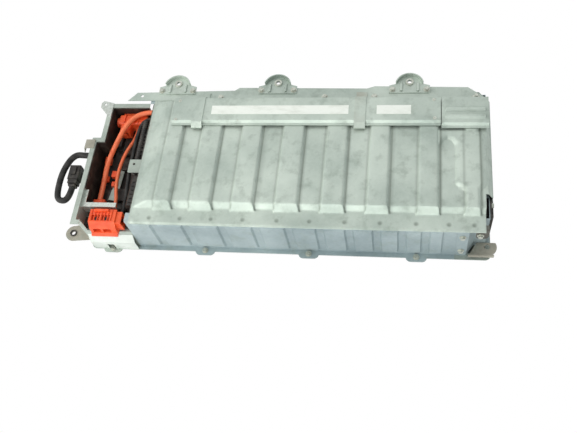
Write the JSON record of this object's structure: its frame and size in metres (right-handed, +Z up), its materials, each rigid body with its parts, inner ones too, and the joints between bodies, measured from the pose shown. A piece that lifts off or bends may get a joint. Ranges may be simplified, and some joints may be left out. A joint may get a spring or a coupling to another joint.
{
  "type": "hybrid vehicle traction battery pack",
  "caption": "Long pressed-steel battery pack with a ribbed lid, padded side walls, a rear brace with round-ended hangers and an open end bay holding orange power connectors and cables.",
  "frame": {"origin": "centre of the tray's flat underside", "axes": "+X along the pack, away from the open cable bay; +Y to the rear, where the brace and hangers are; +Z up through the lid"},
  "size_m": [1.1082, 0.4515, 0.19],
  "materials": {
    "galvanised_steel": "satin, pressed and galvanised sheet",
    "bright_steel": "bright zinc-plated sheet",
    "zinc_bolt": "zinc-plated, slightly rusted",
    "orange_plastic": "moulded orange plastic",
    "orange_sheath": "orange cable sheath",
    "harness_tape": "black cloth tape over wires",
    "black_plastic": "black moulded plastic",
    "module_case": "dark moulded plastic",
    "label_film": "plain white film",
    "plate_aluminium": "cast, bead-blasted"
  },
  "bodies": {
    "root": {"arch_bracket_1": "galvanised_steel", "arch_bracket_2": "galvanised_steel", "arch_bracket_3": "galvanised_steel", "bay_bridge": "bright_steel", "bay_bulkhead": "galvanised_steel", "bay_frame": "galvanised_steel", "bay_front_step": "galvanised_steel", "bay_liner": "black_plastic", "brace_end_bracket": "galvanised_steel", "brace_strap_left": "bright_steel", "brace_strap_right": "bright_steel", "bracket_bolts": "zinc_bolt", "busbar_cover": "black_plastic", "busbar_frame_front": "module_case", "busbar_frame_rear": "module_case", "cable_boot": "orange_plastic", "cable_bracket": "bright_steel", "cable_loom": "harness_tape", "corner_bolts": "zinc_bolt", "corner_lug": "galvanised_steel", "corner_stud": "zinc_bolt", "corner_wall": "galvanised_steel", "cover_bolts": "zinc_bolt", "exhaust_duct": "black_plastic", "flange_bolts": "zinc_bolt", "foot_bolts": "zinc_bolt", "front_left_foot": "galvanised_steel", "front_wall": "galvanised_steel", "harness_bracket": "galvanised_steel", "harness_grommet": "black_plastic", "harness_loop": "harness_tape", "harness_plug": "black_plastic", "label_long": "label_film", "label_small": "label_film", "lower_connector": "orange_plastic", "lower_tray": "galvanised_steel", "modules_1": "module_case", "modules_2": "module_case", "modules_3": "module_case", "modules_4": "module_case", "monitor_bracket": "galvanised_steel", "monitor_unit": "black_plastic", "power_cable_long": "orange_sheath", "power_cable_short": "orange_sheath", "rear_brace": "galvanised_steel", "rear_flange": "galvanised_steel", "rear_left_ear": "bright_steel", "rear_wall": "galvanised_steel", "relay_box": "black_plastic", "right_end_wall": "galvanised_steel", "right_foot": "galvanised_steel", "shelf_foam": "black_plastic", "side_ear": "bright_steel", "stack_end_plate_left": "plate_aluminium", "stack_end_plate_right": "plate_aluminium", "stack_rail_front": "galvanised_steel", "stack_rail_rear": "galvanised_steel", "top_cover": "galvanised_steel", "upper_connector": "orange_plastic"}
  },
  "joints": []
}
